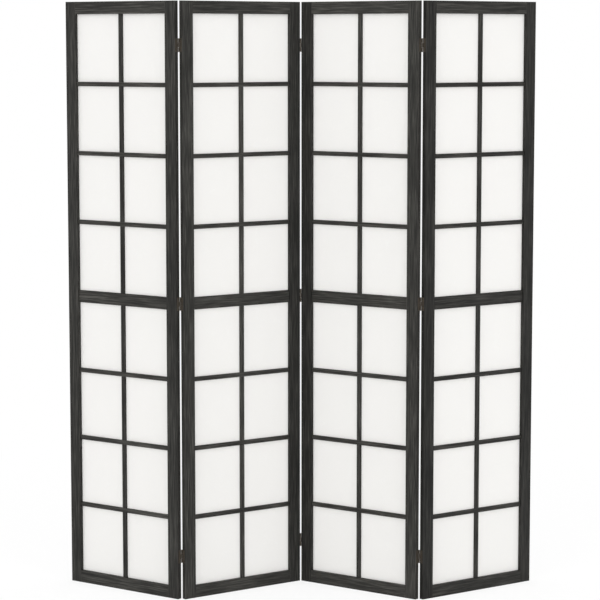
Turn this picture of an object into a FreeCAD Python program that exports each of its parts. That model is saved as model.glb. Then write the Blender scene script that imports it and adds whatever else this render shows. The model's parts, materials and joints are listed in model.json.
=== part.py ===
"""Four-panel shoji folding screen: mortised wooden frames, a half-lapped lattice, paper and butt hinges.

Every piece of a panel is drawn in that panel's own frame: X runs from its left edge to its right edge,
Y from its front face to its back face and Z up from the floor. The panels then stand in a zigzag whose
first and third folds come forward. The screen's origin is on the floor, under the middle of its outline.
"""

import FreeCAD, Part
import math
import os
import Sketcher

Vector = FreeCAD.Vector

doc = FreeCAD.newDocument("shoji_screen")
sheet = doc.addObject("Spreadsheet::Sheet", "Sizes")

# Driving dimensions: millimetres, degrees and plain counts.
DIMENSIONS = [
    # the panel and its frame
    ("panel_height", 1700),
    ("panel_width", 401),
    ("frame_thickness", 15),
    ("stile_width", 36),
    ("end_rail_height", 35.5),
    ("middle_rail_height", 35.5),
    ("stile_edge_radius", 1),
    # the joints of the frame
    ("rail_tenon_length", 22),
    ("rail_tenon_thickness", 5),
    ("rail_tenon_shoulder", 6),
    ("glue_gap", 0.4),
    ("wood_clearance", 0.05),
    # the lattice
    ("lattice_setback", 3.5),
    ("lattice_thickness", 7),
    ("bar_width", 12.5),
    ("bar_tenon_length", 6),
    ("bar_tenon_shoulder", 1.5),
    ("middle_tenon_length", 14),
    ("middle_tenon_shoulder", 5),
    ("panes_per_half", 4),
    # the paper and the stops that hold its edge
    ("rebate_width", 7),
    ("paper_thickness", 0.4),
    ("paper_edge_gap", 0.6),
    ("stop_setback", 0.3),
    ("stop_bevel", 1.2),
    # the hinges
    ("hinge_height", 38),
    ("hinge_end_distance", 123.5),
    ("leaf_reach", 12.5),
    ("leaf_thickness", 0.9),
    ("barrel_diameter", 3.5),
    ("barrel_clearance", 0.3),
    ("knuckle_gap", 0.2),
    ("pin_diameter", 1.6),
    ("pin_clearance", 0.05),
    ("pin_overhang", 0.4),
    ("pin_setout", 0.4),
    # the hinge screws
    ("screw_spacing", 20),
    ("screw_line", 7.6),
    ("screw_head_diameter", 4.6),
    ("screw_shank_diameter", 2.4),
    ("screw_length", 13),
    ("screw_tip_length", 3),
    ("screw_tip_diameter", 0.6),
    # the stance: each panel's angle from the line of the whole screen
    ("stance_angle", 35.2),
]

KNUCKLES = 3
HINGES_PER_LINE = 3
SCREWS_PER_LEAF = 2

# Small round pieces that repeat many times are drawn with flat sides.
BARREL_SIDES = 12
BORE_SIDES = 8
SCREW_SIDES = 6

for row, (name, value) in enumerate(DIMENSIONS, start=1):
    sheet.set(f"A{row}", name)
    sheet.set(f"B{row}", str(value))
    sheet.setAlias(f"B{row}", name)
doc.recompute()


class Measure:
    """A size worked out from the sheet: its value now, and the expression that keeps it current."""

    def __init__(self, value, text):
        self.value = float(value)
        self.text = text

    @staticmethod
    def of(other):
        return other if isinstance(other, Measure) else Measure(other, repr(float(other)))

    def join(self, other, sign, value):
        return Measure(value, f"({self.text} {sign} {other.text})")

    def __add__(self, other):
        other = Measure.of(other)
        return self.join(other, "+", self.value + other.value)

    def __sub__(self, other):
        other = Measure.of(other)
        return self.join(other, "-", self.value - other.value)

    def __mul__(self, other):
        other = Measure.of(other)
        return self.join(other, "*", self.value * other.value)

    def __truediv__(self, other):
        other = Measure.of(other)
        return self.join(other, "/", self.value / other.value)

    def __radd__(self, other):
        return Measure.of(other) + self

    def __rsub__(self, other):
        return Measure.of(other) - self

    def __rmul__(self, other):
        return Measure.of(other) * self


def size(name):
    return Measure(sheet.get(name), f"Sizes.{name}")


# The sizes that pieces share, worked out once from the sheet.
height = size("panel_height")
width = size("panel_width")
depth = size("frame_thickness")
stile = size("stile_width")
end_rail = size("end_rail_height")
middle_rail = size("middle_rail_height")
rebate = size("rebate_width")
fit = size("wood_clearance")
glue = size("glue_gap")
bar = size("bar_width")
bar_tenon = size("bar_tenon_length")
bar_shoulder = size("bar_tenon_shoulder")
centre = width / 2
middle = height / 2

lattice_front = size("lattice_setback")
paper_front = lattice_front + size("lattice_thickness")
lap_plane = lattice_front + size("lattice_thickness") / 2
paper_back = paper_front + size("paper_thickness")
stop_back = depth - size("stop_setback")

rail_tongue_front = (paper_front - size("rail_tenon_thickness")) / 2
rail_tongue_back = (paper_front + size("rail_tenon_thickness")) / 2
bar_tongue_front = lattice_front + bar_shoulder
bar_tongue_back = paper_front - bar_shoulder

barrel_radius = size("barrel_diameter") / 2
pin_radius = size("pin_diameter") / 2
hinge_bottom = size("hinge_end_distance") - size("hinge_height") / 2
hinge_travel = height - 2 * size("hinge_end_distance")
knuckle_pitch = (size("hinge_height") + size("knuckle_gap")) / KNUCKLES
knuckle_length = knuckle_pitch - size("knuckle_gap")

pane_count = int(size("panes_per_half").value)
cross_bars = pane_count - 1
row_pitch = (middle - middle_rail / 2 - end_rail) / size("panes_per_half")
lower_opening = end_rail
upper_opening = middle + middle_rail / 2


def bar_heights(opening):
    """The centre heights of the cross bars: the opening is shared out in equal rows."""
    return [opening + row_pitch * count for count in range(1, cross_bars + 1)]


# ---------------------------------------------------------------------------------------------------
# Drawing helpers
# ---------------------------------------------------------------------------------------------------

def origin_part(body, role):
    return [part for part in body.Origin.OriginFeatures if part.Role == role][0]


def new_body(label, panel):
    body = doc.addObject("PartDesign::Body", label)
    body.Label = label
    body.AllowCompound = True
    panels[panel].append(body)
    return body


def new_sketch(body, name, role, offset=0):
    """A sketch on one of the body's own planes, moved along that plane's normal by offset."""
    sketch = body.newObject("Sketcher::SketchObject", f"{body.Name}_{name}")
    sketch.AttachmentSupport = (origin_part(body, role), [""])
    sketch.MapMode = "FlatFace"
    sketch.setExpression("AttachmentOffset.Base.z", Measure.of(offset).text)
    return sketch


def bind_point(sketch, element, vertex, point):
    """Ties one sketch point to its two coordinates."""
    for kind, coordinate in zip(("DistanceX", "DistanceY"), point):
        coordinate = Measure.of(coordinate)
        index = sketch.addConstraint(
            Sketcher.Constraint(kind, -1, 1, element, vertex, coordinate.value))
        sketch.setExpression(f"Constraints[{index}]", coordinate.text)


def add_outline(sketch, points):
    """A closed outline of straight lines through the given points."""
    flat = [Vector(Measure.of(x).value, Measure.of(y).value, 0) for x, y in points]
    lines = [sketch.addGeometry(Part.LineSegment(start, end), False)
             for start, end in zip(flat, flat[1:] + flat[:1])]
    for line, following in zip(lines, lines[1:] + lines[:1]):
        sketch.addConstraint(Sketcher.Constraint("Coincident", line, 2, following, 1))
    for line, point in zip(lines, points):
        bind_point(sketch, line, 1, point)


def add_rectangle(sketch, left, right, low, high):
    add_outline(sketch, [(left, low), (right, low), (right, high), (left, high)])


def add_ring(sketch, centre_point, radius, sides):
    """A regular outline whose corners lie on a circle, the first of them to the right of its centre."""
    turns = [2 * math.pi * corner / sides for corner in range(sides)]
    add_outline(sketch, [
        (centre_point[0] + radius * round(math.cos(turn), 9),
         centre_point[1] + radius * round(math.sin(turn), 9)) for turn in turns])


def across_corners(radius, sides):
    """The radius to the corners of a ring whose flat sides keep the given distance from its centre."""
    return radius / round(math.cos(math.pi / sides), 9)


def add_circle(sketch, centre_point, radius):
    middle_point = Vector(Measure.of(centre_point[0]).value, Measure.of(centre_point[1]).value, 0)
    circle = sketch.addGeometry(Part.Circle(middle_point, Vector(0, 0, 1), radius.value), False)
    bind_point(sketch, circle, 3, centre_point)
    index = sketch.addConstraint(Sketcher.Constraint("Radius", circle, radius.value))
    sketch.setExpression(f"Constraints[{index}]", radius.text)


def pad(body, sketch, length):
    feature = body.newObject("PartDesign::Pad", f"{sketch.Name}_pad")
    feature.Profile = sketch
    feature.setExpression("Length", Measure.of(length).text)
    return feature


def pocket(body, sketch, length, reverse=False):
    """A blind cut against the sketch's normal, or along it when reversed."""
    feature = body.newObject("PartDesign::Pocket", f"{sketch.Name}_pocket")
    feature.Profile = sketch
    feature.Reversed = reverse
    feature.setExpression("Length", Measure.of(length).text)
    return feature


def repeat_up(body, name, count, travel, originals=None):
    """Copies along Z, spread over travel. With no originals, the whole body so far is copied."""
    if count < 2:
        return
    doc.recompute()
    pattern = body.newObject("PartDesign::LinearPattern", f"{body.Name}_{name}")
    if originals is None:
        pattern.TransformMode = "Whole shape"
    else:
        pattern.Originals = originals
    pattern.Direction = (origin_part(body, "Z_Axis"), [""])
    pattern.Occurrences = count
    pattern.setExpression("Length", Measure.of(travel).text)
    body.Tip = pattern


def taper(body, kind, name, side, near, far, centre_point):
    """A straight-sided cone along X between two rings, added to the body or cut from it.

    near and far each give a distance beyond the panel's edge and the ring's radius there.
    """
    rings = []
    for end, (distance, radius) in (("near", near), ("far", far)):
        ring = new_sketch(body, f"{name}_{end}", "YZ_Plane", beyond_edge(side, distance))
        add_ring(ring, centre_point, radius, SCREW_SIDES)
        rings.append(ring)
    feature = body.newObject(f"PartDesign::{kind}Loft", f"{body.Name}_{name}")
    feature.Profile = rings[0]
    feature.Sections = [rings[1]]
    feature.Ruled = True
    return feature


# ---------------------------------------------------------------------------------------------------
# The frame of a panel
# ---------------------------------------------------------------------------------------------------

def make_stile(panel, side, pin_face):
    """A stile with its paper rebate, its mortises and, on a hinged edge, the screws' pilot holes.

    The inner back corner is rebated for the paper. The outer long edges are rounded. pin_face is
    "front" or "back" where the outer edge carries hinges, else None.
    """
    body = new_body(f"panel_{panel}_{side}_stile", panel)
    left = side == "left"

    def across(distance):
        """Distance from the stile's outer edge, as a place in the panel."""
        return Measure.of(distance) if left else width - distance

    section = new_sketch(body, "section", "XY_Plane")
    add_outline(section, [
        (across(0), 0), (across(stile), 0), (across(stile), paper_front),
        (across(stile - rebate), paper_front), (across(stile - rebate), depth), (across(0), depth)])
    blank = pad(body, section, height)

    doc.recompute()
    outer = across(0).value
    rounded = [f"Edge{number}" for number, edge in enumerate(blank.Shape.Edges, start=1)
               if all(abs(corner.X - outer) < 1e-6 for corner in edge.Vertexes)
               and abs(edge.Length - height.value) < 1e-6]
    edges = body.newObject("PartDesign::Fillet", f"{body.Name}_edges")
    edges.Base = (blank, rounded)
    edges.setExpression("Radius", "Sizes.stile_edge_radius")

    rail_mortises = new_sketch(body, "rail_mortises", "YZ_Plane", across(stile))
    shoulder = size("rail_tenon_shoulder")
    for low in (Measure.of(0), height - end_rail):
        add_rectangle(rail_mortises, rail_tongue_front - fit, rail_tongue_back + fit,
                      low + shoulder - fit, low + end_rail - shoulder + fit)
    pocket(body, rail_mortises, size("rail_tenon_length") + glue, reverse=not left)

    middle_mortise = new_sketch(body, "middle_mortise", "YZ_Plane", across(stile))
    half = middle_rail / 2 - size("middle_tenon_shoulder") + fit
    add_rectangle(middle_mortise, bar_tongue_front - fit, bar_tongue_back + fit,
                  middle - half, middle + half)
    pocket(body, middle_mortise, size("middle_tenon_length") + glue, reverse=not left)

    bar_mortises = new_sketch(body, "bar_mortises", "YZ_Plane", across(stile))
    half = bar / 2 - bar_shoulder + fit
    for level in bar_heights(lower_opening) + bar_heights(upper_opening):
        add_rectangle(bar_mortises, bar_tongue_front - fit, bar_tongue_back + fit,
                      level - half, level + half)
    pocket(body, bar_mortises, bar_tenon + glue, reverse=not left)

    if pin_face:
        pilots = new_sketch(body, "pilots", "YZ_Plane", across(0))
        pilot_radius = size("screw_shank_diameter") / 2 + fit
        for level in screw_heights():
            centre_point = (inward_from_pin(pin_face, size("screw_line")), level)
            add_ring(pilots, centre_point, pilot_radius, SCREW_SIDES)
        pocket(body, pilots, size("screw_length") - size("leaf_thickness") + glue, reverse=left)


def make_end_rail(panel, name, low, inner, outward):
    """The top or bottom rail: a tenoned tongue, and long and short shoulders over the rebates.

    low is the rail's lower face, inner its face towards the paper, and outward is +1 where the rail
    lies above that face and -1 where it lies below.
    """
    body = new_body(f"panel_{panel}_{name}_rail", panel)
    long_low = low + rebate if outward > 0 else low
    long_high = low + end_rail if outward > 0 else low + end_rail - rebate

    front = new_sketch(body, "front", "YZ_Plane", stile)
    add_rectangle(front, 0, paper_front, low, low + end_rail)
    pad(body, front, width - 2 * stile)

    back = new_sketch(body, "back", "YZ_Plane", stile - rebate)
    add_rectangle(back, paper_front, depth, long_low, long_high)
    pad(body, back, width - 2 * stile + 2 * rebate)

    tenon = size("rail_tenon_length")
    shoulder = size("rail_tenon_shoulder")
    tongue = new_sketch(body, "tongue", "YZ_Plane", stile - tenon)
    add_rectangle(tongue, rail_tongue_front, rail_tongue_back, low + shoulder, low + end_rail - shoulder)
    pad(body, tongue, width - 2 * stile + 2 * tenon)

    mortise = new_sketch(body, "mortise", "XY_Plane", inner)
    half = bar / 2 - bar_shoulder + fit
    add_rectangle(mortise, centre - half, centre + half, bar_tongue_front - fit, bar_tongue_back + fit)
    pocket(body, mortise, bar_tenon + glue, reverse=outward > 0)


# ---------------------------------------------------------------------------------------------------
# The lattice of a panel
# ---------------------------------------------------------------------------------------------------

def make_cross_piece(body, level, half_height, tenon, shoulder):
    """One lattice piece from stile to stile, tenoned at both ends and lapped behind at its middle."""
    face = new_sketch(body, "face", "YZ_Plane", stile)
    add_rectangle(face, lattice_front, paper_front, level - half_height, level + half_height)
    pad(body, face, width - 2 * stile)

    tongue = new_sketch(body, "tongue", "YZ_Plane", stile - tenon)
    add_rectangle(tongue, bar_tongue_front, bar_tongue_back,
                  level - half_height + shoulder, level + half_height - shoulder)
    pad(body, tongue, width - 2 * stile + 2 * tenon)

    lap = new_sketch(body, "lap", "XY_Plane", level + half_height)
    add_rectangle(lap, centre - bar / 2 - fit, centre + bar / 2 + fit, lap_plane, paper_front)
    pocket(body, lap, 2 * half_height)


def make_cross_bars(panel, name, opening):
    """The equal cross bars of one half of the panel."""
    body = new_body(f"panel_{panel}_{name}_cross_bars", panel)
    make_cross_piece(body, bar_heights(opening)[0], bar / 2, bar_tenon, bar_shoulder)
    repeat_up(body, "rows", cross_bars, row_pitch * (cross_bars - 1))


def make_middle_rail(panel):
    body = new_body(f"panel_{panel}_middle_rail", panel)
    make_cross_piece(body, middle, middle_rail / 2, size("middle_tenon_length"),
                     size("middle_tenon_shoulder"))


def make_upright_bar(panel):
    """The upright bar from rail to rail, lapped in front wherever a cross piece passes."""
    body = new_body(f"panel_{panel}_upright_bar", panel)
    section = new_sketch(body, "section", "XY_Plane", end_rail)
    add_rectangle(section, centre - bar / 2, centre + bar / 2, lattice_front, paper_front)
    pad(body, section, height - 2 * end_rail)

    tongue = new_sketch(body, "tongue", "XY_Plane", end_rail - bar_tenon)
    half = bar / 2 - bar_shoulder
    add_rectangle(tongue, centre - half, centre + half, bar_tongue_front, bar_tongue_back)
    pad(body, tongue, height - 2 * end_rail + 2 * bar_tenon)

    laps = new_sketch(body, "laps", "YZ_Plane", centre + bar / 2)
    crossings = [(level, bar / 2) for level in bar_heights(lower_opening) + bar_heights(upper_opening)]
    crossings.append((middle, middle_rail / 2))
    for level, half_height in crossings:
        add_rectangle(laps, lattice_front, lap_plane, level - half_height - fit, level + half_height + fit)
    pocket(body, laps, bar)


# ---------------------------------------------------------------------------------------------------
# The paper and its stops
# ---------------------------------------------------------------------------------------------------

def make_paper(panel):
    """One sheet behind the whole lattice, its edge lapping into the frame's rebate."""
    body = new_body(f"panel_{panel}_paper", panel)
    lap = rebate - size("paper_edge_gap")
    sheet_section = new_sketch(body, "section", "XY_Plane", end_rail - lap)
    add_rectangle(sheet_section, stile - lap, width - stile + lap, paper_front, paper_back)
    pad(body, sheet_section, height - 2 * end_rail + 2 * lap)


def make_side_stops(panel):
    """The two long strips that close the rebate beside the paper, bevelled at the sight edge."""
    body = new_body(f"panel_{panel}_side_stops", panel)
    bevel = size("stop_bevel")
    section = new_sketch(body, "section", "XY_Plane", end_rail - rebate + fit)
    add_outline(section, [
        (stile - rebate + fit, paper_back), (stile, paper_back), (stile, stop_back - bevel),
        (stile - bevel, stop_back), (stile - rebate + fit, stop_back)])
    add_outline(section, [
        (width - stile, paper_back), (width - stile + rebate - fit, paper_back),
        (width - stile + rebate - fit, stop_back), (width - stile + bevel, stop_back),
        (width - stile, stop_back - bevel)])
    pad(body, section, height - 2 * end_rail + 2 * rebate - 2 * fit)


def make_end_stops(panel):
    """The two short strips above and below the paper, between the side stops."""
    body = new_body(f"panel_{panel}_end_stops", panel)
    bevel = size("stop_bevel")
    section = new_sketch(body, "section", "YZ_Plane", stile)
    bottom_low = end_rail - rebate + fit
    top_high = height - end_rail + rebate - fit
    add_outline(section, [
        (paper_back, bottom_low), (stop_back, bottom_low), (stop_back, end_rail - bevel),
        (stop_back - bevel, end_rail), (paper_back, end_rail)])
    add_outline(section, [
        (paper_back, height - end_rail), (stop_back - bevel, height - end_rail),
        (stop_back, height - end_rail + bevel), (stop_back, top_high), (paper_back, top_high)])
    pad(body, section, width - 2 * stile)


# ---------------------------------------------------------------------------------------------------
# The hinges
# ---------------------------------------------------------------------------------------------------

def inward_from_pin(pin_face, distance):
    """A place in the panel's depth, measured from the pin line towards the other face."""
    setout = size("pin_setout")
    return depth + setout - distance if pin_face == "back" else distance - setout


def screw_heights():
    """The heights of all the screws on one hinge line."""
    first = hinge_bottom + (size("hinge_height") - size("screw_spacing")) / 2
    step = hinge_travel / (HINGES_PER_LINE - 1)
    return [first + size("screw_spacing") * screw + step * hinge
            for hinge in range(HINGES_PER_LINE) for screw in range(SCREWS_PER_LEAF)]


def beyond_edge(side, distance):
    """A place in the panel's width, measured outwards from its left or right edge."""
    return 0 - Measure.of(distance) if side == "left" else width + distance


def make_leaves(panel, side, line, pin_face, first_knuckle):
    """The leaves on one panel edge: a flat plate, its rolled knuckles and its countersunk holes.

    The knuckles are every other one of the barrel's, from first_knuckle on. The plate lies flat on
    the stile's edge, and the strip that leaves it to roll round the pin stays flat on that edge too.
    """
    body = new_body(f"hinge_line_{line}_{side_name(side)}_leaves", panel)
    thickness = size("leaf_thickness")
    plate_root = barrel_radius + size("barrel_clearance")
    pin_line = inward_from_pin(pin_face, 0)
    pin_centre = (beyond_edge(side, barrel_radius), pin_line)

    plate = new_sketch(body, "plate", "XY_Plane", hinge_bottom)
    add_rectangle(plate, beyond_edge(side, 0), beyond_edge(side, thickness),
                  inward_from_pin(pin_face, plate_root), inward_from_pin(pin_face, size("leaf_reach")))
    pad(body, plate, size("hinge_height"))

    knuckle_base = hinge_bottom + knuckle_pitch * first_knuckle
    strip = new_sketch(body, "strip", "XY_Plane", knuckle_base)
    add_rectangle(strip, beyond_edge(side, 0), beyond_edge(side, thickness),
                  pin_line, inward_from_pin(pin_face, plate_root + thickness))
    strips = pad(body, strip, knuckle_length)
    roll = new_sketch(body, "roll", "XY_Plane", knuckle_base)
    add_ring(roll, pin_centre, barrel_radius, BARREL_SIDES)
    rolls = pad(body, roll, knuckle_length)
    count = len(range(first_knuckle, KNUCKLES, 2))
    repeat_up(body, "knuckles", count, 2 * knuckle_pitch * (count - 1), [strips, rolls])

    bore = new_sketch(body, "bore", "XY_Plane", hinge_bottom + size("hinge_height"))
    add_ring(bore, pin_centre, across_corners(pin_radius + size("pin_clearance"), BORE_SIDES), BORE_SIDES)
    pocket(body, bore, size("hinge_height"))

    screw_centre = (inward_from_pin(pin_face, size("screw_line")), screw_heights()[0])
    sink = taper(body, "Subtractive", "countersink", side, (0, size("screw_shank_diameter") / 2),
                 (thickness, size("screw_head_diameter") / 2), screw_centre)
    repeat_up(body, "screw_holes", SCREWS_PER_LEAF, size("screw_spacing"), [sink])
    repeat_up(body, "line", HINGES_PER_LINE, hinge_travel)


def make_screws(panel, side, line, pin_face):
    """The countersunk wood screws of one panel edge, their heads flush with the leaves."""
    body = new_body(f"hinge_line_{line}_{side_name(side)}_screws", panel)
    screw_centre = (inward_from_pin(pin_face, size("screw_line")), screw_heights()[0])
    shank = size("screw_shank_diameter") / 2
    point = size("leaf_thickness") - size("screw_length")
    neck = point + size("screw_tip_length")
    taper(body, "Additive", "head", side, (0, shank),
          (size("leaf_thickness"), size("screw_head_diameter") / 2), screw_centre)
    taper(body, "Additive", "shank", side, (neck, shank), (0, shank), screw_centre)
    taper(body, "Additive", "tip", side, (point, size("screw_tip_diameter") / 2),
          (neck, shank), screw_centre)
    repeat_up(body, "pair", SCREWS_PER_LEAF, size("screw_spacing"))
    repeat_up(body, "line", HINGES_PER_LINE, hinge_travel)


def make_pins(panel, side, line, pin_face):
    """The hinge pins: plain rods, riveted over just past the barrel's ends."""
    body = new_body(f"hinge_line_{line}_pins", panel)
    overhang = size("pin_overhang")
    section = new_sketch(body, "section", "XY_Plane", hinge_bottom - overhang)
    add_circle(section, (beyond_edge(side, barrel_radius), inward_from_pin(pin_face, 0)), pin_radius)
    pad(body, section, size("hinge_height") + 2 * overhang)
    repeat_up(body, "line", HINGES_PER_LINE, hinge_travel)


def side_name(side):
    """On a hinge line, the panel whose right edge it is stands on the left."""
    return "left" if side == "right" else "right"


# ---------------------------------------------------------------------------------------------------
# The screen
# ---------------------------------------------------------------------------------------------------

# Folds 1 and 3 come forward, so their pins are behind; fold 2 goes back, so its pins are in front.
PIN_FACES = {1: "back", 2: "front", 3: "back"}
# The panel that holds each line's pins and its outer knuckles.
PIN_PANELS = {1: 2, 2: 2, 3: 3}
PANEL_COUNT = len(PIN_FACES) + 1

panels = {panel: [] for panel in range(1, PANEL_COUNT + 1)}

for panel in panels:
    make_stile(panel, "left", PIN_FACES.get(panel - 1))
    make_stile(panel, "right", PIN_FACES.get(panel))
    make_end_rail(panel, "top", height - end_rail, height - end_rail, +1)
    make_middle_rail(panel)
    make_end_rail(panel, "bottom", Measure.of(0), end_rail, -1)
    make_upright_bar(panel)
    make_cross_bars(panel, "upper", upper_opening)
    make_cross_bars(panel, "lower", lower_opening)
    make_paper(panel)
    make_side_stops(panel)
    make_end_stops(panel)

for line, pin_face in PIN_FACES.items():
    for panel, side in ((line, "right"), (line + 1, "left")):
        holds_pins = PIN_PANELS[line] == panel
        make_leaves(panel, side, line, pin_face, 0 if holds_pins else 1)
        make_screws(panel, side, line, pin_face)
        if holds_pins:
            make_pins(panel, side, line, pin_face)


def turn(angle, x, y):
    cosine = math.cos(math.radians(angle))
    sine = math.sin(math.radians(angle))
    return Vector(x * cosine - y * sine, x * sine + y * cosine, 0)


def pin_place(line, panel):
    """Where a hinge line's pin stands in the frame of one of its two panels."""
    side = "right" if panel == line else "left"
    return (beyond_edge(side, barrel_radius).value, inward_from_pin(PIN_FACES[line], 0).value)


# Each panel's turn about Z, and where its frame's origin lands once the pins meet from fold to fold.
stance = size("stance_angle").value
angles = {panel: -stance if panel % 2 else stance for panel in panels}
corners = {1: Vector(0, 0, 0)}
for line in PIN_FACES:
    pin = corners[line] + turn(angles[line], *pin_place(line, line))
    corners[line + 1] = pin - turn(angles[line + 1], *pin_place(line, line + 1))

# The origin goes under the middle fold's pin, and halfway between the foremost and hindmost corners.
radius = size("stile_edge_radius").value
reach = [corners[panel] + turn(angles[panel], x, y)
         for panel in panels
         for x in (radius, width.value - radius)
         for y in (radius, depth.value - radius)]
middle_line = (PANEL_COUNT + 1) // 2
middle_pin = corners[middle_line] + turn(angles[middle_line], *pin_place(middle_line, middle_line))
middle_y = (min(point.y for point in reach) + max(point.y for point in reach)) / 2
shift = Vector(-middle_pin.x, -middle_y, 0)
for panel, bodies in panels.items():
    placement = FreeCAD.Placement(corners[panel] + shift, FreeCAD.Rotation(Vector(0, 0, 1), angles[panel]))
    for body in bodies:
        body.Placement = placement

doc.recompute()

# ---------------------------------------------------------------------------------------------------
# Checks and files
# ---------------------------------------------------------------------------------------------------

for item in doc.Objects:
    bad = {"Invalid", "Error"}.intersection(item.State)
    if bad:
        raise RuntimeError(f"{item.Name} is {bad}")
    if item.TypeId in ("PartDesign::Pocket", "PartDesign::SubtractiveLoft"):
        if item.Shape.Volume > item.BaseFeature.Shape.Volume - 0.1:
            raise RuntimeError(f"{item.Name} cuts nothing")

os.makedirs("parts", exist_ok=True)
for bodies in panels.values():
    for body in bodies:
        shape = body.Shape
        if shape.isNull() or not shape.isValid():
            raise RuntimeError(f"{body.Label} has no valid shape")
        shape.exportStep(f"parts/{body.Label}.step")
print(sum(len(bodies) for bodies in panels.values()), "nodes")
for line in PIN_FACES:
    pin = corners[line] + turn(angles[line], *pin_place(line, line)) + shift
    print("hinge line", line, "pin at", round(pin.x, 4), round(pin.y, 4))
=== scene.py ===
"""Shoji folding screen of four panels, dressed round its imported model. Lengths are in metres.

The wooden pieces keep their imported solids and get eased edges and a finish. The paper, the hinge leaves,
the screws and the pins are drawn again here, from formulas, with the detail that the solids leave out.
"""

import json
import math

import bpy
import numpy as np
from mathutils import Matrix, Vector


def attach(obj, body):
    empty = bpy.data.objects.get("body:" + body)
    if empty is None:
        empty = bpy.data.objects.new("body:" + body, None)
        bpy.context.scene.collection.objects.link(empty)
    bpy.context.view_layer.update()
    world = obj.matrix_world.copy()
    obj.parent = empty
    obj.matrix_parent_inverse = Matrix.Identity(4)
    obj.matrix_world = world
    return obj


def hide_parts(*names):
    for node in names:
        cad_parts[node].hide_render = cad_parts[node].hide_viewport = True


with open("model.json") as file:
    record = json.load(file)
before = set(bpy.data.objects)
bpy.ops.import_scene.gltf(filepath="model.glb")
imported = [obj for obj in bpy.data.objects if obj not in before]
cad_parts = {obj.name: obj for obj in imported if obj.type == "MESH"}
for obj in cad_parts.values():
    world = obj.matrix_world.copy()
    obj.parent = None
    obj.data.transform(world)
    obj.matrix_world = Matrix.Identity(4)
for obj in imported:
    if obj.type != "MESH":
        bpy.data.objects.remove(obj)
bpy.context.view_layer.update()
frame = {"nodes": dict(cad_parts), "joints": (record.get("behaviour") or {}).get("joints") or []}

# ---------------------------------------------------------------------------------------------------
# Stiles
# The two uprights of each panel are straight-grained, open-pored boards, 36 by 15 mm. They are planed,
# brushed until the hard grain stands proud, and stained black. Their edges are rubbed a little paler.
# ---------------------------------------------------------------------------------------------------

PANELS = (1, 2, 3, 4)
HINGE_LINES = (1, 2, 3)
PANEL_WIDTH = 0.401
FRAME_THICKNESS = 0.015
# How far a pin's line lies past the edge of a panel, and proud of its face.
PIN_TO_EDGE = 0.00175
PIN_SETOUT = 0.0004

pin_lines = {line: np.array(joint["pos_m"][:2]) for line, joint in zip(HINGE_LINES, frame["joints"])}

# Panel 2 runs from the first pin line, behind its left edge, to the second, in front of its right edge.
pin_step = pin_lines[2] - pin_lines[1]
stance = math.atan2(pin_step[1], pin_step[0]) + math.atan2(
    FRAME_THICKNESS + 2 * PIN_SETOUT, PANEL_WIDTH + 2 * PIN_TO_EDGE)
panel_turns = {panel: -stance if panel % 2 else stance for panel in PANELS}


def new_material(name):
    """A material with nodes, its node tree and its shader."""
    material = bpy.data.materials.new(name)
    material.use_nodes = True
    return material, material.node_tree, material.node_tree.nodes["Principled BSDF"]


def add_node(tree, kind, inputs=None, **settings):
    """One shader node. An input that is given a socket is linked to it, and any other value is written."""
    node = tree.nodes.new(kind)
    for name, value in settings.items():
        setattr(node, name, value)
    for name, value in (inputs or {}).items():
        if isinstance(value, bpy.types.NodeSocket):
            tree.links.new(value, node.inputs[name])
        else:
            node.inputs[name].default_value = value
    return node


def object_place(tree):
    """The place on the object, in metres."""
    return add_node(tree, "ShaderNodeTexCoord").outputs["Object"]


def calculate(tree, operation, *values):
    """A Math node on the values, and its result."""
    node = add_node(tree, "ShaderNodeMath", dict(enumerate(values)), operation=operation)
    return node.outputs[0]


def noise(tree, vector, scale, detail=3.0, roughness=0.55):
    """Fractal noise from 0 to 1, with its middle at one half."""
    node = add_node(tree, "ShaderNodeTexNoise", {
        "Vector": vector, "Scale": scale, "Detail": detail, "Roughness": roughness})
    return node.outputs["Fac"]


def stretched_noise(tree, vector, cells, detail):
    """The same noise with its own number of cells per metre along each axis."""
    stretched = add_node(tree, "ShaderNodeMapping", {"Vector": vector, "Scale": cells})
    return noise(tree, stretched.outputs["Vector"], 1.0, detail)


def ramp(tree, factor, low, high, start=0.0, end=1.0):
    """The factor's stretch from low to high, spread over start to end and kept inside them."""
    node = add_node(tree, "ShaderNodeMapRange", {
        "Value": factor, "From Min": low, "From Max": high, "To Min": start, "To Max": end})
    return node.outputs["Result"]


def blend_colours(tree, factor, first, second):
    """A Mix node from the first colour to the second. Its colours are inputs 6 and 7, and output 2."""
    node = add_node(tree, "ShaderNodeMix", {0: factor, 6: first, 7: second}, data_type="RGBA")
    return node.outputs[2]


def raise_relief(tree, shader, height, strength, depth):
    """Gives the surface a relief of that depth in metres, where the height goes from 0 to 1."""
    relief = add_node(tree, "ShaderNodeBump", {"Height": height, "Strength": strength, "Distance": depth})
    tree.links.new(relief.outputs["Normal"], shader.inputs["Normal"])


# How nearly a rounded normal matches the true one on the flat, and on an edge with its full wear.
FLAT_MATCH = 0.99
EDGE_MATCH = 0.80
EDGE_SAMPLES = 4


def worn_edges(tree, reach):
    """1 on an edge and 0 on the flat: how far a normal rounded over that reach leaves the true one."""
    rounded = add_node(tree, "ShaderNodeBevel", {"Radius": reach}, samples=EDGE_SAMPLES)
    flat = add_node(tree, "ShaderNodeNewGeometry")
    match = add_node(tree, "ShaderNodeVectorMath", {
        0: rounded.outputs["Normal"], 1: flat.outputs["True Normal"]}, operation="DOT_PRODUCT")
    return ramp(tree, match.outputs["Value"], FLAT_MATCH, EDGE_MATCH)


STAIN_DEEP = (0.0100, 0.0096, 0.0085, 1)
STAIN_MIDDLE = (0.0240, 0.0232, 0.0205, 1)
STAIN_THIN = (0.0580, 0.0560, 0.0500, 1)
WORN_WOOD = (0.0900, 0.0830, 0.0700, 1)
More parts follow.
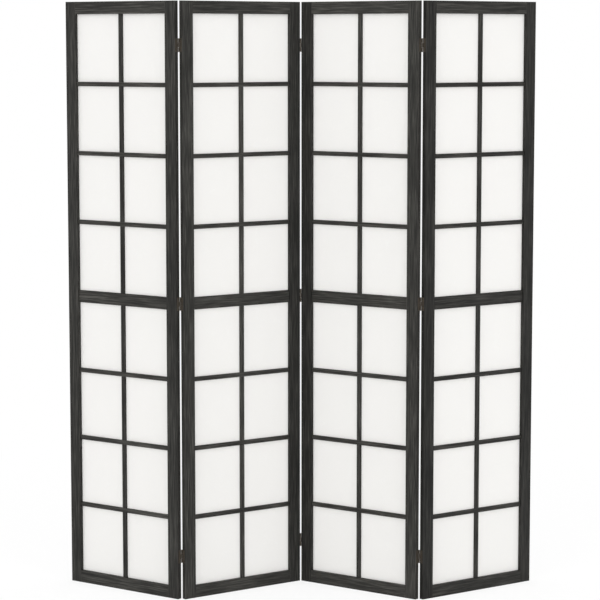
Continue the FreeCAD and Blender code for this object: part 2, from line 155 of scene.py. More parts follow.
# Noise cells per metre, across the grain and along it. The clouds are as long as they are wide.
BAND_CELLS = (320, 10)
LINE_CELLS = (700, 20)
PORE_CELLS = (2300, 40)
CLOUD_CELLS = 5
# A pore goes from nothing to its full depth between these levels of its noise.
PORE_LEVELS = (0.60, 0.72)
# What each noise gives to the tone. The clouds swing it about its middle.
BAND_SHARE = 0.55
LINE_SHARE = 0.45
CLOUD_SWING = 0.18
# The tones at which the stain is deep, middle and thin.
DEEP_TONE = 0.38
MIDDLE_TONE = 0.51
THIN_TONE = 0.64
# The share of deep stain that fills a pore.
PORE_SHARE = 0.7
# Wear reaches this far from an edge. It grows from nothing to its share between these levels of the lines.
WEAR_REACH = 0.0012
WEAR_LINES = (0.42, 0.60)
WEAR_SHARE = 0.40
# The roughness goes from the first to the second between these tones, and a pore adds its own.
SHEEN_TONES = (0.35, 0.65)
WOOD_ROUGHNESS = (0.70, 0.52)
PORE_ROUGHNESS = 0.15
WOOD_GLOSS = 0.22
# The heights of bands and pores, where a line's is 1.
BAND_HEIGHT = 0.5
PORE_HEIGHT = -0.8
GRAIN_STRENGTH = 0.35
GRAIN_DEPTH = 0.0004


def brushed_black_wood(name, turn, upright, tone_and_painted_light):
    """Black-stained open grain. The grain runs up the piece, or along the panel where it isn't upright.

    Three noises are drawn out along the grain: broad bands of hard and soft wood, the fine lines that
    the brush leaves, and short dark pores. Their sum sets the stain's depth, the sheen and the relief.
    The last argument scales the stain's colours, 1 leaving them as they are: partly tone that differs by
    board, partly painted light and shade.
    """
    # The stain's colours scaled by the last argument, partly tone and partly painted light and shade.
    def stained(colour):
        return (*(tone_and_painted_light * channel for channel in colour[:3]), 1)

    material, tree, shader = new_material(name)
    board = add_node(tree, "ShaderNodeMapping", {"Vector": object_place(tree), "Rotation": (0, 0, -turn)})

    def drawn_out(cells, detail):
        across, along = cells
        scale = (across, across, along) if upright else (along, across, across)
        return stretched_noise(tree, board.outputs["Vector"], scale, detail)

    bands = drawn_out(BAND_CELLS, 3)
    lines = drawn_out(LINE_CELLS, 3)
    pores = ramp(tree, drawn_out(PORE_CELLS, 1), *PORE_LEVELS)
    clouds = noise(tree, board.outputs["Vector"], CLOUD_CELLS, detail=2)

    tone = calculate(tree, "MULTIPLY_ADD", lines, LINE_SHARE,
                     calculate(tree, "MULTIPLY", bands, BAND_SHARE))
    tone = calculate(tree, "MULTIPLY_ADD", clouds, CLOUD_SWING,
                     calculate(tree, "SUBTRACT", tone, CLOUD_SWING / 2))
    to_middle = ramp(tree, tone, DEEP_TONE, MIDDLE_TONE)
    to_thin = ramp(tree, tone, MIDDLE_TONE, THIN_TONE)
    colour = blend_colours(tree, to_middle, stained(STAIN_DEEP), stained(STAIN_MIDDLE))
    colour = blend_colours(tree, to_thin, colour, stained(STAIN_THIN))
    filled = calculate(tree, "MULTIPLY", pores, PORE_SHARE)
    colour = blend_colours(tree, filled, colour, stained(STAIN_DEEP))
    wear = calculate(tree, "MULTIPLY", worn_edges(tree, WEAR_REACH), ramp(tree, lines, *WEAR_LINES))
    colour = blend_colours(tree, calculate(tree, "MULTIPLY", wear, WEAR_SHARE), colour, WORN_WOOD)
    tree.links.new(colour, shader.inputs["Base Color"])

    shader.inputs["Specular IOR Level"].default_value = WOOD_GLOSS
    roughness = calculate(tree, "MULTIPLY_ADD", pores, PORE_ROUGHNESS,
                          ramp(tree, tone, *SHEEN_TONES, *WOOD_ROUGHNESS))
    tree.links.new(roughness, shader.inputs["Roughness"])
    height = calculate(tree, "MULTIPLY_ADD", pores, PORE_HEIGHT,
                       calculate(tree, "MULTIPLY_ADD", bands, BAND_HEIGHT, lines))
    raise_relief(tree, shader, height, GRAIN_STRENGTH, GRAIN_DEPTH)
    return material


EDGE_EASE = 0.0005
EASE_STEPS = 2
WELD_REACH = 1e-6
PLANE_TOLERANCE = math.radians(1)
SHARP_ANGLE = math.radians(30)


def finish_wood(node, material):
    """Gives a packed wooden piece its stain, and eases its edges as a hand plane would."""
    piece = frame["nodes"][node]
    piece.data.materials.clear()
    piece.data.materials.append(material)
    weld = piece.modifiers.new("weld", "WELD")
    weld.merge_threshold = WELD_REACH
    planes = piece.modifiers.new("planes", "DECIMATE")
    planes.decimate_type = "DISSOLVE"
    planes.angle_limit = PLANE_TOLERANCE
    ease = piece.modifiers.new("eased_edges", "BEVEL")
    ease.width = EDGE_EASE
    ease.segments = EASE_STEPS
    ease.limit_method = "ANGLE"
    ease.angle_limit = SHARP_ANGLE
    shading = piece.modifiers.new("shading", "WEIGHTED_NORMAL")
    shading.mode = "FACE_AREA"


# How light each stile is made, for tone that differs by board.
# The two stiles that meet in the back fold at the second line are darker still, as painted shade of that
# fold.
STILE_TONE_AND_PAINTED_SHADE = {
    (1, "left"): 0.98, (1, "right"): 0.92, (2, "left"): 1.10, (2, "right"): 0.82,
    (3, "left"): 0.68, (3, "right"): 1.15, (4, "left"): 0.55, (4, "right"): 0.66}

for (panel, side), tone_and_painted_light in STILE_TONE_AND_PAINTED_SHADE.items():
    finish_wood(f"panel_{panel}_{side}_stile", brushed_black_wood(
        f"{side}_stile_wood_{panel}", panel_turns[panel], True, tone_and_painted_light))

# ---------------------------------------------------------------------------------------------------
# Rails
# The top and bottom rails are tenoned flush between the stiles. The middle rail is as wide but thinner,
# level with the lattice. The same wood and stain, with the grain running along the rail.
# ---------------------------------------------------------------------------------------------------

# How light each panel's rails, cross bars and end stops are made: partly tone that differs by board,
# partly painted light and shade of how the light falls on that panel.
LEVEL_TONE_AND_PAINTED_LIGHT = {1: 1.26, 2: 1.15, 3: 1.32, 4: 0.86}

level_wood = {panel: brushed_black_wood(f"level_wood_{panel}", panel_turns[panel], False, tone_and_painted_light)
              for panel, tone_and_painted_light in LEVEL_TONE_AND_PAINTED_LIGHT.items()}

for panel in PANELS:
    for rail in ("top", "middle", "bottom"):
        finish_wood(f"panel_{panel}_{rail}_rail", level_wood[panel])

# ---------------------------------------------------------------------------------------------------
# Lattice
# Slim bars, 12.5 by 7 mm, half lapped where they cross: one upright, and three cross bars above and
# three below the middle rail. They are planed and stained like the frame before they are glued in.
# ---------------------------------------------------------------------------------------------------

# How light each panel's upright bar and side stops are made: partly tone that differs by board, partly
# painted light and shade of how the light falls on that panel.
UPRIGHT_TONE_AND_PAINTED_LIGHT = {1: 0.74, 2: 1.38, 3: 1.15, 4: 0.88}

upright_wood = {panel: brushed_black_wood(f"upright_wood_{panel}", panel_turns[panel], True, tone_and_painted_light)
                for panel, tone_and_painted_light in UPRIGHT_TONE_AND_PAINTED_LIGHT.items()}

for panel in PANELS:
    finish_wood(f"panel_{panel}_upright_bar", upright_wood[panel])
    for half in ("upper", "lower"):
        finish_wood(f"panel_{panel}_{half}_cross_bars", level_wood[panel])

# ---------------------------------------------------------------------------------------------------
# Paper stops
# Thin bevelled strips of the same stained wood, two upright and two level on each panel. They are
# pressed into the rebate behind the paper's edge and hold it there.
# ---------------------------------------------------------------------------------------------------

for panel in PANELS:
    finish_wood(f"panel_{panel}_side_stops", upright_wood[panel])
    finish_wood(f"panel_{panel}_end_stops", level_wood[panel])

# ---------------------------------------------------------------------------------------------------
# Paper
# One sheet of white shoji paper to each panel, pasted to the back of the lattice and lapped into the
# rebate. It is long-fibred and half see-through, and it has dried a little slack between the bars.
# ---------------------------------------------------------------------------------------------------

PANEL_HEIGHT = 1.700
STILE_WIDTH = 0.036
RAIL_HEIGHT = 0.0355
BAR_WIDTH = 0.0125
ROWS_PER_HALF = 4
PAPER_FRONT = 0.0105
PAPER_THICKNESS = 0.0004
PAPER_LAP = 0.0064
# Points of the sheet, across and up.
PAPER_COLUMNS = 57
PAPER_ROWS = 229
# How deep the panes swell, and the ripples on them. Each wave is in radians per metre across and up.
SLACK_RANGE = (0.00010, 0.00035)
RIPPLE_HEIGHT = 0.00004
RIPPLE_WAVES = ((95, 38), (61, -74))
PINNED_BEHIND = {1: True, 2: False, 3: True}


def turned(panel, across, through):
    """A step in a panel's own directions, across its width and through its thickness, in the room's."""
    cosine = math.cos(panel_turns[panel])
    sine = math.sin(panel_turns[panel])
    return np.stack([across * cosine - through * sine, across * sine + through * cosine], axis=-1)


def panel_corner(panel):
    """Where the left end of a panel's front face stands, found from the pin line at one of its edges."""
    line = max(panel - 1, 1)
    across = PANEL_WIDTH + PIN_TO_EDGE if panel == line else -PIN_TO_EDGE
    through = FRAME_THICKNESS + PIN_SETOUT if PINNED_BEHIND[line] else -PIN_SETOUT
    return pin_lines[line] - turned(panel, across, through)


def grid_quads(rows, columns, wrap=False):
    """The quads of a grid of points, row by row. With wrap, the last column meets the first."""
    index = np.arange(rows * columns).reshape(rows, columns)
    beside = np.roll(index, -1, axis=1)
    if not wrap:
        index, beside = index[:, :-1], beside[:, :-1]
    return np.stack([index[:-1], beside[:-1], beside[1:], index[1:]], axis=-1).reshape(-1, 4)


def new_piece(name, points, faces, material):
    """A mesh object at the origin, smooth but for the edges where its faces meet sharply."""
    mesh = bpy.data.meshes.new(name)
    mesh.from_pydata(np.asarray(points).tolist(), [], [list(face) for face in faces])
    mesh.polygons.foreach_set("use_smooth", np.ones(len(mesh.polygons), bool))
    mesh.set_sharp_from_angle(angle=SHARP_ANGLE)
    mesh.materials.append(material)
    piece = bpy.data.objects.new(name, mesh)
    bpy.context.scene.collection.objects.link(piece)
    return piece


def pane_swells(places, panes):
    """For each pane, half a sine from its low edge to its high one, and nothing outside it."""
    shares = [np.clip((places - low) / (high - low), 0, 1) for low, high in panes]
    return np.sin(np.pi * np.array(shares))


def paper_surface(panel):
    """Points and quads of the sheet: a front grid, a back grid behind it and a strip round the rim.

    The front stands behind the lattice's plane by the slack: over every pane the product of a half sine
    across and a half sine up, times that pane's own depth, and on top two crossing ripples.
    """
    draw = np.random.default_rng(panel)
    across = np.linspace(STILE_WIDTH - PAPER_LAP, PANEL_WIDTH - STILE_WIDTH + PAPER_LAP, PAPER_COLUMNS)
    up = np.linspace(RAIL_HEIGHT - PAPER_LAP, PANEL_HEIGHT - RAIL_HEIGHT + PAPER_LAP, PAPER_ROWS)
    centre = PANEL_WIDTH / 2
    columns = [(STILE_WIDTH, centre - BAR_WIDTH / 2), (centre + BAR_WIDTH / 2, PANEL_WIDTH - STILE_WIDTH)]
    # Each half lies between an end rail and the middle rail, and each swell keeps half a bar off its ends.
    half_opening = (PANEL_HEIGHT - RAIL_HEIGHT) / 2 - RAIL_HEIGHT
    pitch = half_opening / ROWS_PER_HALF
    floors = [start + pitch * row for start in (RAIL_HEIGHT, PANEL_HEIGHT / 2 + RAIL_HEIGHT / 2)
              for row in range(ROWS_PER_HALF)]
    rows = [(low + BAR_WIDTH / 2, low + pitch - BAR_WIDTH / 2) for low in floors]
    depths = draw.uniform(*SLACK_RANGE, (len(rows), len(columns)))
    slack = pane_swells(up, rows).T @ depths @ pane_swells(across, columns)
    phases = draw.uniform(0, 2 * np.pi, len(RIPPLE_WAVES))
    ripples = sum(np.sin(across[None, :] * sideways + up[:, None] * upwards + phase)
                  for (sideways, upwards), phase in zip(RIPPLE_WAVES, phases))
    slack = slack + RIPPLE_HEIGHT * ripples * slack / SLACK_RANGE[1]

    layers = []
    for depth in (PAPER_FRONT, PAPER_FRONT + PAPER_THICKNESS):
        flat = panel_corner(panel) + turned(panel, across[None, :] + 0 * slack, depth + slack)
        layers.append(np.concatenate([flat, np.repeat(up[:, None, None], PAPER_COLUMNS, axis=1)], axis=2))
    points = np.concatenate(layers).reshape(-1, 3)
    front = grid_quads(PAPER_ROWS, PAPER_COLUMNS)
    behind = PAPER_ROWS * PAPER_COLUMNS
    index = np.arange(behind).reshape(PAPER_ROWS, PAPER_COLUMNS)
    rim = np.concatenate([index[0, :-1], index[:-1, -1], index[-1, :0:-1], index[:0:-1, 0]])
    after = np.roll(rim, -1)
    strip = np.stack([rim, rim + behind, after + behind, after], axis=1)
    return points, np.concatenate([front, front[:, ::-1] + behind, strip])


PAPER_WHITE = (0.918, 0.912, 0.900, 1)
PAPER_FIBRE = (0.945, 0.942, 0.932, 1)
# The share of the light that the paper passes on from its other side.
PAPER_GLOW = 0.60
# The fibres' noise cells per metre, and how far from its middle the noise still shows a fibre.
LONG_FIBRES = (46, 0.012)
SHORT_FIBRES = (118, 0.016)
SHORT_FIBRE_SHARE = 0.6
FIBRE_SHARE = 0.55
PULP_CELLS = 260
PULP_LEVELS = (0.3, 0.7)
PULP_SHARE = 0.45
# The roughness of bare pulp and of a fibre.
PAPER_ROUGHNESS = (0.82, 0.66)
PAPER_GLOSS = 0.2
PAPER_RELIEF = 0.25
PAPER_DEPTH = 0.0001


def fibre_lines(tree, place, cells, width):
    """Long curling threads: the thin lines where a smooth noise passes through its middle."""
    level = noise(tree, place, cells, detail=0)
    off = calculate(tree, "ABSOLUTE", calculate(tree, "SUBTRACT", level, 0.5))
    return ramp(tree, off, 0, width, 1, 0)


def white_fibre_paper(name):
    """White paper of long and short fibres in a cloudy pulp, which lets light through from behind."""
    material, tree, shader = new_material(name)
    place = object_place(tree)
    long_fibres = fibre_lines(tree, place, *LONG_FIBRES)
    short_fibres = fibre_lines(tree, place, *SHORT_FIBRES)
    fibres = calculate(tree, "MAXIMUM", long_fibres,
                       calculate(tree, "MULTIPLY", short_fibres, SHORT_FIBRE_SHARE))
    pulp = noise(tree, place, PULP_CELLS, detail=4, roughness=0.7)
    formation = calculate(tree, "MULTIPLY_ADD", fibres, FIBRE_SHARE,
                          ramp(tree, pulp, *PULP_LEVELS, 0, PULP_SHARE))
    colour = blend_colours(tree, formation, PAPER_WHITE, PAPER_FIBRE)
    tree.links.new(colour, shader.inputs["Base Color"])
    tree.links.new(ramp(tree, formation, 0, 1, *PAPER_ROUGHNESS), shader.inputs["Roughness"])
    shader.inputs["Specular IOR Level"].default_value = PAPER_GLOSS
    raise_relief(tree, shader, formation, PAPER_RELIEF, PAPER_DEPTH)
    from_behind = add_node(tree, "ShaderNodeBsdfTranslucent", {"Color": colour})
    both = add_node(tree, "ShaderNodeMixShader", {
        0: PAPER_GLOW, 1: shader.outputs["BSDF"], 2: from_behind.outputs["BSDF"]})
    tree.links.new(both.outputs["Shader"], tree.nodes["Material Output"].inputs["Surface"])
    return material


shoji_paper = white_fibre_paper("shoji_paper")
for panel in PANELS:
    paper = new_piece(f"panel_{panel}_shoji_paper", *paper_surface(panel), shoji_paper)
    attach(paper, f"panel_{panel}")
    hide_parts(f"panel_{panel}_paper")

# ---------------------------------------------------------------------------------------------------
# Hinge leaves
# Butt hinges, 38 mm high, of 0.9 mm brass strip with a dark bronze finish: a flat plate with two
# countersunk holes, and tongues rolled round the pin to make every other knuckle of the barrel.
# ---------------------------------------------------------------------------------------------------

HINGE_HEIGHT = 0.038
HINGE_CENTRES = (0.1235, 0.850, 1.5765)
LEAF_THICKNESS = 0.0009
# How far the plate's two edges lie from the pin line, into the panel's thickness.
LEAF_ROOT = 0.00205
LEAF_REACH = 0.0125
BARREL_RADIUS = 0.00175
KNUCKLES = 3
KNUCKLE_GAP = 0.0002
ROLL_END = math.radians(292)
ROLL_STEPS = 28
STAMPED_EASE = 0.00015
SCREW_LINE = 0.0076
SCREW_SPACING = 0.020
SINK_RADIUS = 0.0023
SHANK_RADIUS = 0.0012
PLATE_SIDE_STEPS = 8
# The panel of each line that has the outer knuckles.
OUTER_PANELS = {1: 2, 2: 2, 3: 3}


def hinge_point(line, side, out, deep, up):
    """A place beside a pin line: out from the panel, deep into its thickness, and up from the floor."""
    panel = line if side == "left" else line + 1
    across = out if side == "left" else -out
    through = -deep if PINNED_BEHIND[line] else deep
    flat = pin_lines[line] + turned(panel, across, through)
    return np.concatenate([flat, np.broadcast_to(up, flat.shape[:-1])[..., None]], axis=-1)


def closed_tube(rows, columns):
    """The faces of rings of points that follow each other: quads between them and a face at each end."""
    end = np.arange(columns)
    ends = [end[::-1].tolist(), (end + (rows - 1) * columns).tolist()]
    return grid_quads(rows, columns, wrap=True).tolist() + ends


def rolled_tongue(low, high):
    """A knuckle: a flat strip that leaves the plate and rolls round the pin, closed at both ends.

    A rectangle with eased corners, as thick as the leaf and as high as the knuckle, is carried along the
    strip's middle line: straight down to the pin, then round it on an arc.
    """
    middle = BARREL_RADIUS - LEAF_THICKNESS / 2
    arc = np.pi + np.linspace(0, ROLL_END, ROLL_STEPS)
    spine = np.concatenate([[[-middle, LEAF_ROOT]], middle * np.stack([np.cos(arc), np.sin(arc)], axis=1)])
    normals = np.concatenate([[[-1, 0]], np.stack([np.cos(arc), np.sin(arc)], axis=1)])
    half = LEAF_THICKNESS / 2
    ease = STAMPED_EASE
    thick = np.array([-half, -half + ease, half - ease, half, half, half - ease, -half + ease, -half])
    heights = np.array([low + ease, low, low, low + ease, high - ease, high, high, high - ease])
    flat = spine[:, None, :] + normals[:, None, :] * thick[None, :, None]
    points = np.concatenate([flat, np.broadcast_to(heights, flat.shape[:2])[..., None]], axis=2)
    return points.reshape(-1, 3), closed_tube(len(spine), len(thick))


def half_plate(low, high, hole_height, seam_above):
    """Half of the flat plate, as one band of rings round its screw hole.

    The rings run from the hole's edge on the wood, out along the countersink, over the face to the
    plate's eased rim, and back under it. Beside the other half the rim is left open and uneased.
    """
    def rim(inset):
        left, right = LEAF_ROOT, LEAF_REACH - inset
        bottom = low + (0 if not seam_above else inset)
        top = high - (inset if not seam_above else 0)
        steps = np.arange(PLATE_SIDE_STEPS) / PLATE_SIDE_STEPS
        deep = np.concatenate([left + (right - left) * steps, np.full(len(steps), right),
                               right - (right - left) * steps, np.full(len(steps), left)])
        up = np.concatenate([np.full(len(steps), bottom), bottom + (top - bottom) * steps,
                             np.full(len(steps), top), top - (top - bottom) * steps])
        return deep, up

    outline = rim(0)
    directions = np.arctan2(outline[1] - hole_height, outline[0] - SCREW_LINE)
    on_wood, face = -PIN_TO_EDGE, -PIN_TO_EDGE + LEAF_THICKNESS

    def ring(radius):
        return SCREW_LINE + radius * np.cos(directions), hole_height + radius * np.sin(directions)

    rings = [(on_wood, ring(SHANK_RADIUS)), (face, ring(SINK_RADIUS)), (face, rim(STAMPED_EASE)),
             (face - STAMPED_EASE, outline), (on_wood, outline)]
    points = np.array([np.stack([np.full(len(deep), out), deep, up], axis=1) for out, (deep, up) in rings])
    rows, columns = points.shape[:2]
    # One row of quads more joins the last ring to the first, under the plate.
    faces = grid_quads(rows + 1, columns, wrap=True) % (rows * columns)
    seam_side = 2 if seam_above else 0
    at = np.arange(len(faces))
    on_seam = (at % columns) // PLATE_SIDE_STEPS == seam_side
    on_edge = (at // columns == 2) | (at // columns == 3)
    return points.reshape(-1, 3), faces[~(on_seam & on_edge)].tolist()


def joined(shells):
    """Several sets of points and faces as one."""
    points = np.concatenate([shell[0] for shell in shells])
    starts = np.cumsum([0] + [len(shell[0]) for shell in shells[:-1]])
    faces = [[corner + start for corner in face]
             for start, shell in zip(starts, shells) for face in shell[1]]
    return points, faces


def welded(points, faces):
    """Makes one point of those that lie within a tenth of a micrometre."""
    kept, index = np.unique(np.round(points, 7), axis=0, return_inverse=True)
    index = index.reshape(-1)
    return kept, [[int(index[corner]) for corner in face] for face in faces]


def leaf_shape(outer):
    """One leaf with its pin line at the origin: the plate and the knuckles that belong to it."""
    half = HINGE_HEIGHT / 2
    lower = half_plate(0, half, half - SCREW_SPACING / 2, seam_above=True)
    upper = half_plate(half, HINGE_HEIGHT, half + SCREW_SPACING / 2, seam_above=False)
    plate = welded(*joined([lower, upper]))
    pitch = (HINGE_HEIGHT + KNUCKLE_GAP) / KNUCKLES
    tongues = [rolled_tongue(pitch * number, pitch * (number + 1) - KNUCKLE_GAP)
               for number in range(0 if outer else 1, KNUCKLES, 2)]
    return joined([plate, *tongues])


BRONZE_DARK = (0.045, 0.038, 0.030, 1)
BRONZE_BROWN = (0.108, 0.090, 0.070, 1)
BRONZE_WORN = (0.220, 0.180, 0.130, 1)
# The patina is cloudy, and the scuffs run round the barrel and across the leaf: cells per metre.
PATINA_CELLS = 420
PATINA_LEVELS = (0.35, 0.65)
SCUFF_CELLS = (900, 900, 5200)
SCUFF_LEVELS = (0.3, 0.6)
# An edge is rubbed bare over this reach, by the first share between its scuffs and by the second on them.
RUB_REACH = 0.0004
RUB_SHARES = (0.3, 0.9)
# Patina shines less like metal than the bare bronze that shows from this much rubbing on.
BARE_LEVEL = 0.5
METAL_SHARES = (0.45, 1.0)
# The roughness goes from the first to the second between these levels of the patina.
SATIN_LEVELS = (0.3, 0.7)
BRONZE_ROUGHNESS = (0.38, 0.58)
SCUFF_HEIGHT = 0.5
BRONZE_RELIEF = 0.2
BRONZE_DEPTH = 0.0001


def dark_bronze(name):
    """Dark bronze with a mottled patina and fine scuffs, rubbed to the metal on its edges."""
    material, tree, shader = new_material(name)
    place = object_place(tree)
    patina = noise(tree, place, PATINA_CELLS, detail=5, roughness=0.65)
    scuffs = stretched_noise(tree, place, SCUFF_CELLS, 2)
    colour = blend_colours(tree, ramp(tree, patina, *PATINA_LEVELS), BRONZE_DARK, BRONZE_BROWN)
    rubbed = calculate(tree, "MULTIPLY", worn_edges(tree, RUB_REACH),
                       ramp(tree, scuffs, *SCUFF_LEVELS, *RUB_SHARES))
    colour = blend_colours(tree, rubbed, colour, BRONZE_WORN)
    tree.links.new(colour, shader.inputs["Base Color"])
    tree.links.new(ramp(tree, rubbed, 0, BARE_LEVEL, *METAL_SHARES), shader.inputs["Metallic"])
    tree.links.new(ramp(tree, patina, *SATIN_LEVELS, *BRONZE_ROUGHNESS), shader.inputs["Roughness"])
    height = calculate(tree, "MULTIPLY_ADD", scuffs, SCUFF_HEIGHT, patina)
    raise_relief(tree, shader, height, BRONZE_RELIEF, BRONZE_DEPTH)
    return material


bronze = dark_bronze("aged_bronze")


def hinge_piece(name, line, side, body, shape, node):
    """Puts a hinge shape beside its pin at each of the three heights, as one piece on one body.

    The shapes are drawn for one hand. Where the hinge has the other, their faces are turned round.
    """
    points, faces = shape
    raised = [hinge_point(line, side, points[:, 0], points[:, 1], points[:, 2] + centre - HINGE_HEIGHT / 2)
              for centre in HINGE_CENTRES]
    faces = [face[::-1] for face in faces] if (side == "left") != PINNED_BEHIND[line] else faces
    piece = new_piece(name, *joined([(place, faces) for place in raised]), bronze)
    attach(piece, body)
    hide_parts(node)


for line in HINGE_LINES:
    for side, panel in (("left", line), ("right", line + 1)):
        hinge_piece(f"hinge_{line}_{side}_rolled_leaves", line, side, f"panel_{panel}",
                    leaf_shape(OUTER_PANELS[line] == panel), f"hinge_line_{line}_{side}_leaves")

# ---------------------------------------------------------------------------------------------------
# Hinge screws
# Countersunk wood screws, 13 mm long, with a crosswise recess, a plain neck and a cut thread. They are
# driven at a slightly different turn each, and their heads lie just below the leaf's face.
# ---------------------------------------------------------------------------------------------------

SCREW_LENGTH = 0.013
HEAD_RADIUS = 0.0021
HEAD_SINK = 0.00005
HEAD_EASE = 0.0001
HEAD_RINGS = (0.0001, 0.0004, 0.0007, 0.0010, 0.0012, 0.0014, 0.0017)
RECESS_DEPTH = 0.0008
RECESS_REACH = 0.0013
RECESS_HALF_WIDTH = 0.00038
# The recess's side walls and the slopes at its four ends, seen from above.
RECESS_WALL = 0.00012
RECESS_SLOPE = 0.0005
NECK_RADIUS = 0.0011
NECK_END = 0.0040
THREAD_START = 0.0042
THREAD_END = 0.0112
THREAD_PITCH = 0.0010
THREAD_RINGS_PER_PITCH = 4
CORE_RADIUS = 0.00085
POINT_RADIUS = 0.0001
SCREW_SIDES = 24


def screw_shape(twist):
    """One screw, head outwards, as rings from the middle of its head to its point.

    Across the head the rings sink inside a plus sign. Along the thread each point's radius follows a
    triangle wave of its height less its share of a turn, so that the ridge winds up the core.
    """
    around = np.arange(SCREW_SIDES) * 2 * np.pi / SCREW_SIDES

    def ring(radius, depth):
        return np.full((1, SCREW_SIDES), radius), np.full((1, SCREW_SIDES), depth)

    head = np.array([*HEAD_RINGS, HEAD_RADIUS - HEAD_EASE])
    sides = head[:, None] * np.stack([np.cos(around + twist), np.sin(around + twist)])[:, None, :]
    near, far = np.sort(np.abs(sides), axis=0)
    sunk = np.clip((RECESS_HALF_WIDTH - near) / RECESS_WALL + 0.5, 0, 1)
    sunk = sunk * np.clip((RECESS_REACH - far) / RECESS_SLOPE, 0, 1)

    along = np.arange(THREAD_START, THREAD_END, THREAD_PITCH / THREAD_RINGS_PER_PITCH)
    wave = np.abs((along[:, None] / THREAD_PITCH - around[None, :] / (2 * np.pi)) % 1 * 2 - 1)
    fade = np.clip((along - THREAD_START) / THREAD_PITCH, 0, 1)[:, None]
    thread = SHANK_RADIUS + (CORE_RADIUS - SHANK_RADIUS) * fade * (1 - wave)

    rings = [
        (head[:, None] + 0 * around, HEAD_SINK + RECESS_DEPTH * sunk),
        ring(HEAD_RADIUS, HEAD_SINK + HEAD_EASE),
        ring(NECK_RADIUS, LEAF_THICKNESS),
        ring(NECK_RADIUS, NECK_END),
        (thread, along[:, None] + 0 * around),
        ring(CORE_RADIUS, THREAD_END),
        ring(POINT_RADIUS, SCREW_LENGTH)]
    radii = np.concatenate([radius for radius, depth in rings])
    depths = np.concatenate([depth for radius, depth in rings])
    out = -PIN_TO_EDGE + LEAF_THICKNESS - depths
    points = np.stack([out, SCREW_LINE + radii * np.cos(around), radii * np.sin(around)], axis=-1)
    return points.reshape(-1, 3), closed_tube(len(radii), SCREW_SIDES)


def screw_pair(draw):
    """The two screws of one leaf, each turned as it happened to stop."""
    pair = []
    for height in (-SCREW_SPACING / 2, SCREW_SPACING / 2):
        points, faces = screw_shape(draw.uniform(0, np.pi / 2))
        pair.append((points + [0, 0, HINGE_HEIGHT / 2 + height], faces))
    return joined(pair)


for line in HINGE_LINES:
    for number, (side, panel) in enumerate((("left", line), ("right", line + 1))):
        draw = np.random.default_rng(10 * line + number)
        hinge_piece(f"hinge_{line}_{side}_cross_screws", line, side, f"panel_{panel}",
                    screw_pair(draw), f"hinge_line_{line}_{side}_screws")

# ---------------------------------------------------------------------------------------------------
# Hinge pins
# A 1.6 mm rod of the same bronze through each barrel. Its two ends are hammered over into low round
# heads that keep it in.
# ---------------------------------------------------------------------------------------------------

PIN_RADIUS = 0.0008
PIN_OVERHANG = 0.0004
PIN_HEAD_RADIUS = 0.0011
PIN_SIDES = 24
PIN_HEAD_RINGS = 5
# The share of the quarter ellipse at which a head's middle is closed with a flat face.
CROWN_START = 0.08


def pin_shape():
    """A round rod along the pin line. Each head is a quarter ellipse from its rim to its crown."""
    around = np.arange(PIN_SIDES) * 2 * np.pi / PIN_SIDES
    sweep = np.linspace(CROWN_START, 1, PIN_HEAD_RINGS) * np.pi / 2
    crown = PIN_HEAD_RADIUS * np.sin(sweep)
    rise = PIN_OVERHANG * np.cos(sweep)
    radii = np.concatenate([crown, [PIN_RADIUS, PIN_RADIUS], crown[::-1]])
    heights = np.concatenate([HINGE_HEIGHT + rise, [HINGE_HEIGHT, 0], -rise[::-1]])
    points = np.stack([radii[:, None] * np.cos(around), radii[:, None] * np.sin(around),
                       heights[:, None] + 0 * around], axis=-1)
    return points.reshape(-1, 3), closed_tube(len(radii), PIN_SIDES)


for line in HINGE_LINES:
    side = "left" if OUTER_PANELS[line] == line else "right"
    hinge_piece(f"hinge_{line}_riveted_pins", line, side, f"panel_{OUTER_PANELS[line]}",
                pin_shape(), f"hinge_line_{line}_pins")

# ---------------------------------------------------------------------------------------------------
# Floor, light and camera
# A plain pale floor and two large soft lamps in an even white studio. The camera stands where the
# photograph was taken from, with a lens of 135 mm.
# ---------------------------------------------------------------------------------------------------

WHITE = (1, 1, 1, 1)
FLOOR_PAINT = (0.90, 0.90, 0.90, 1)
FLOOR_REACH = 12.0
FLOOR_SIDES = 96
# The floor is seen this white near the screen, so that its shadow shows, and pure white further out.
NEAR_WHITE = 0.80
NEAR_REACH = 0.7
FAR_REACH = 2.4
WORLD_LIGHT = 1.05
SEEN_LIGHT = 1.0
LAMP_SIDE = 2.4
LAMP_AIM = (0, 0, 0.8)
CAMERA_PLACE = (0.0200, -6.4399, 1.5804)
CAMERA_DIP = 0.11311
CAMERA_TURN = 0.00336
CAMERA_RANGE = 100
LENS_IN_MM = 135.366
SENSOR_WIDTH_IN_MM = 36

scene = bpy.context.scene
scene.view_settings.view_transform = "Standard"


def seen_directly(tree):
    """1 for what the camera sees, straight or by reflection or through glass, and 0 for light."""
    path = add_node(tree, "ShaderNodeLightPath")
    seen = calculate(tree, "MAXIMUM", path.outputs["Is Camera Ray"], path.outputs["Is Glossy Ray"])
    return calculate(tree, "MAXIMUM", seen, path.outputs["Is Transmission Ray"])


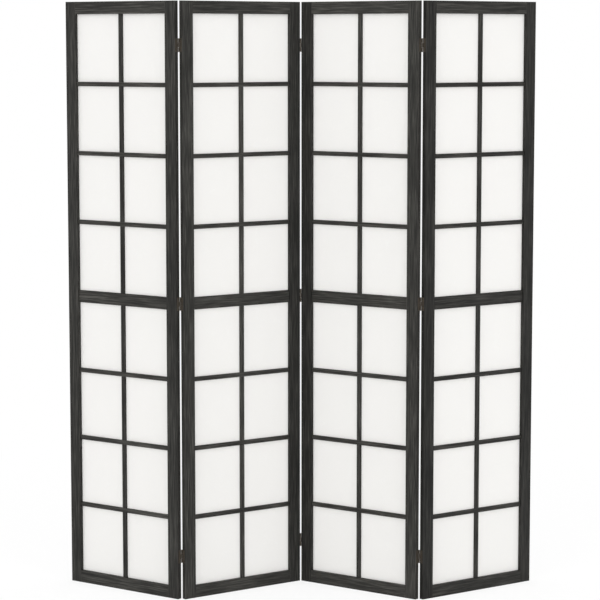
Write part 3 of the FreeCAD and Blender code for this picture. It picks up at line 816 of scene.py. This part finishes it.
def pale_floor(name):
    """White paint under the screen that fades into plain white all round it."""
    material, tree, shader = new_material(name)
    tree.nodes.remove(shader)
    paint = add_node(tree, "ShaderNodeBsdfDiffuse", {"Color": FLOOR_PAINT})
    white = add_node(tree, "ShaderNodeEmission", {"Color": WHITE, "Strength": SEEN_LIGHT})
    from_middle = add_node(tree, "ShaderNodeVectorMath", {0: object_place(tree)}, operation="LENGTH")
    share = ramp(tree, from_middle.outputs["Value"], NEAR_REACH, FAR_REACH, NEAR_WHITE, 1)
    share = calculate(tree, "MULTIPLY", share, seen_directly(tree))
    both = add_node(tree, "ShaderNodeMixShader", {
        0: share, 1: paint.outputs["BSDF"], 2: white.outputs["Emission"]})
    tree.links.new(both.outputs["Shader"], tree.nodes["Material Output"].inputs["Surface"])
    return material


angles = np.arange(FLOOR_SIDES) * 2 * math.pi / FLOOR_SIDES
floor_rim = np.stack([np.cos(angles), np.sin(angles), np.zeros(FLOOR_SIDES)], axis=1) * FLOOR_REACH
floor_mesh = bpy.data.meshes.new("floor")
floor_mesh.from_pydata(floor_rim.tolist(), [], [list(range(FLOOR_SIDES))])
floor_mesh.materials.append(pale_floor("pale_floor"))
floor = bpy.data.objects.new("floor", floor_mesh)
scene.collection.objects.link(floor)

scene.world = bpy.data.worlds.new("studio")
scene.world.use_nodes = True
sky_tree = scene.world.node_tree
sky = sky_tree.nodes["Background"]
sky.inputs["Color"].default_value = WHITE
strength = ramp(sky_tree, seen_directly(sky_tree), 0, 1, WORLD_LIGHT, SEEN_LIGHT)
sky_tree.links.new(strength, sky.inputs["Strength"])


def soft_box(name, place, power):
    """A square area lamp turned towards the middle of the screen, with its power in watts."""
    lamp = bpy.data.objects.new(name, bpy.data.lights.new(name, "AREA"))
    lamp.data.size = LAMP_SIDE
    lamp.data.energy = power
    lamp.location = place
    toward = Vector(LAMP_AIM) - Vector(place)
    lamp.rotation_euler = toward.to_track_quat("-Z", "Y").to_euler()
    scene.collection.objects.link(lamp)


soft_box("key", place=(-1.8, -4.0, 2.9), power=41)
soft_box("fill", place=(2.4, -3.7, 2.3), power=33)

camera = bpy.data.objects.new("camera", bpy.data.cameras.new("camera"))
camera.data.lens = LENS_IN_MM
camera.data.sensor_width = SENSOR_WIDTH_IN_MM
camera.data.clip_end = CAMERA_RANGE
camera.location = CAMERA_PLACE
camera.rotation_euler = (math.pi / 2 - CAMERA_DIP, 0, CAMERA_TURN)
scene.collection.objects.link(camera)
scene.camera = camera
